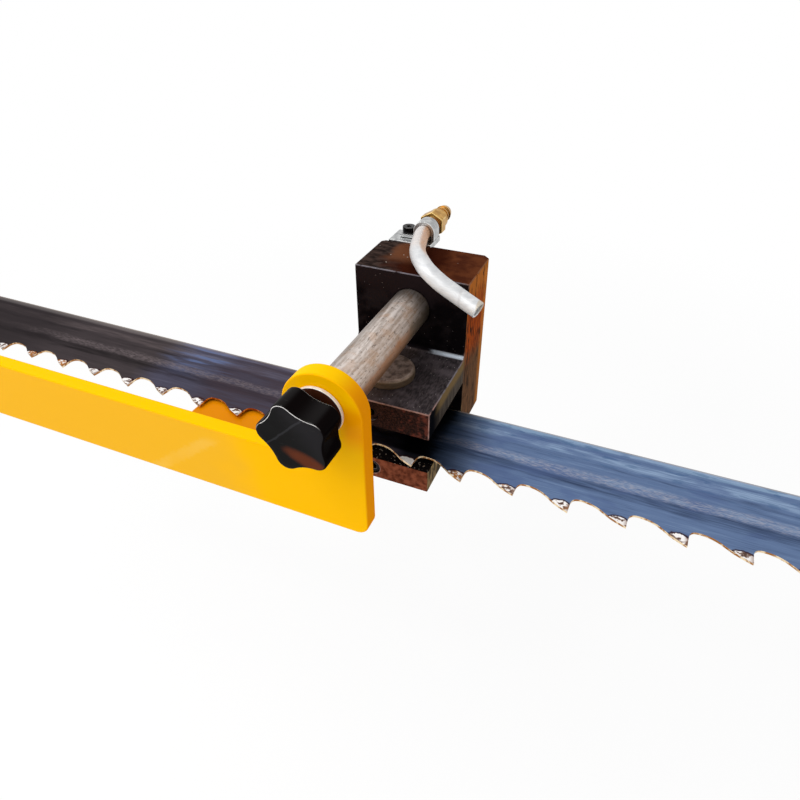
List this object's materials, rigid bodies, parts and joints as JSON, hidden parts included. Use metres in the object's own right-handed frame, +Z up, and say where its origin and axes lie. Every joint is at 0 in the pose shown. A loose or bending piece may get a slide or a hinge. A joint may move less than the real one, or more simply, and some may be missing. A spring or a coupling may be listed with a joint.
{
  "type": "sawmill blade guide",
  "caption": "C-shaped guide block around a toothed saw band, with guide pins, a shaft carrying a swinging yellow blade guard and its knob, and a drip tube above.",
  "frame": {"origin": "middle of the guide block's flat back face", "axes": "+X along the band in its cutting direction, +Y out of the back face towards the machine, +Z up"},
  "size_m": [0.56, 0.1851, 0.1096],
  "materials": {
    "block_black": "oiled black oxide with worn edges",
    "pin_steel": "worn dark steel",
    "pad_steel": "ground hard steel",
    "screw_black": "black oxide",
    "shaft_steel": "worn turned steel",
    "guard_yellow": "gloss yellow paint",
    "zinc_steel": "zinc plated",
    "knob_black": "gloss black",
    "band_steel": "blued spring steel, bright at the teeth",
    "tube_satin": "satin",
    "brass": "plain"
  },
  "bodies": {
    "block": {"guide_block": "block_black", "guard_shaft": "shaft_steel", "shaft_set_screw": "screw_black", "upper_pin_set_screw": "screw_black", "lower_pin_set_screw": "screw_black", "tube_bracket": "zinc_steel", "tube_clip": "zinc_steel", "bracket_screw_left": "screw_black", "bracket_screw_right": "screw_black", "clip_screw": "screw_black"},
    "upper_pin": {"upper_guide_pin": "pin_steel", "upper_wear_pad": "pad_steel"},
    "lower_pin": {"lower_guide_pin": "pin_steel", "lower_wear_pad": "pad_steel"},
    "thrust": {"thrust_button": "pad_steel", "thrust_screw": "screw_black"},
    "guard": {"blade_guard": "guard_yellow", "guard_tab": "guard_yellow"},
    "washer": {"knob_washer": "zinc_steel"},
    "knob": {"star_knob": "knob_black", "knob_stud": "zinc_steel"},
    "band": {"saw_band": "band_steel"},
    "tube": {"drip_tube": "tube_satin", "tube_nut": "brass", "hose_barb": "brass"}
  },
  "joints": [
    {"name": "upper_pin_slide", "type": "slide", "parent": "block", "child": "upper_pin", "axis": [0, 0, 1], "range_m": [0, 0.006]},
    {"name": "lower_pin_slide", "type": "slide", "parent": "block", "child": "lower_pin", "axis": [0, 0, -1], "range_m": [0, 0.006]},
    {"name": "thrust_slide", "type": "slide", "parent": "block", "child": "thrust", "axis": [0, 1, 0], "range_m": [0, 0.002]},
    {"name": "guard_swing", "type": "hinge", "parent": "block", "child": "guard", "pos_m": [-0.0008, -0.119, 0.0278], "axis": [0, -1, 0], "range_deg": [0, 80]},
    {"name": "knob_travel", "type": "slide", "parent": "block", "child": "washer", "axis": [0, -1, 0], "range_m": [0, 0.005]},
    {"name": "knob_turn", "type": "hinge", "parent": "washer", "child": "knob", "pos_m": [-0.0008, -0.135, 0.0278], "axis": [0, -1, 0], "range_deg": [0, 1440]},
    {"name": "band_travel", "type": "slide", "parent": "block", "child": "band", "axis": [1, 0, 0], "range_m": [-0.025, 0.025]},
    {"name": "tube_turn", "type": "hinge", "parent": "block", "child": "tube", "pos_m": [-0.0085, 0.008, 0.05], "axis": [0, 1, 0], "range_deg": [-40, 15]}
  ],
  "couplings": [
    {"joint": "knob_turn", "follows": "knob_travel", "rad_per_m": 5026.5}
  ]
}
